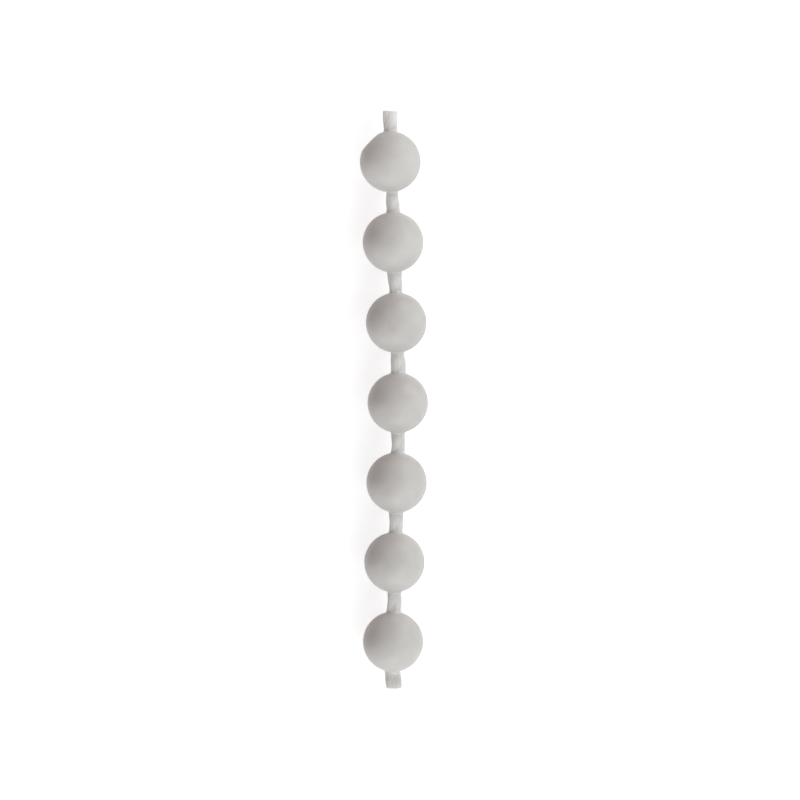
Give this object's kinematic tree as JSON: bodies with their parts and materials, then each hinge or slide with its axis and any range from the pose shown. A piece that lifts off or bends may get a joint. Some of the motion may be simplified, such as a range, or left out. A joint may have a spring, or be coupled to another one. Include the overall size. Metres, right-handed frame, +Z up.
{
  "type": "roller blind chain",
  "caption": "Straight length of ball chain for a roller blind: round moulded balls evenly spaced on one twisted cord, its ends cut square.",
  "frame": {"origin": "middle of the outline, on the surface that the chain lies on", "axes": "+Z up, the cord along Y with ball_1 at the +Y end, and the chain's slight bow towards +X"},
  "size_m": [0.005, 0.0432, 0.0045],
  "materials": {
    "ball_plastic": "satin off-white moulded plastic",
    "cord_fibre": "soft twisted multifilament"
  },
  "bodies": {
    "root": {"cord": "cord_fibre", "ball_1": "ball_plastic", "ball_2": "ball_plastic", "ball_3": "ball_plastic", "ball_4": "ball_plastic", "ball_5": "ball_plastic", "ball_6": "ball_plastic", "ball_7": "ball_plastic"}
  },
  "joints": []
}
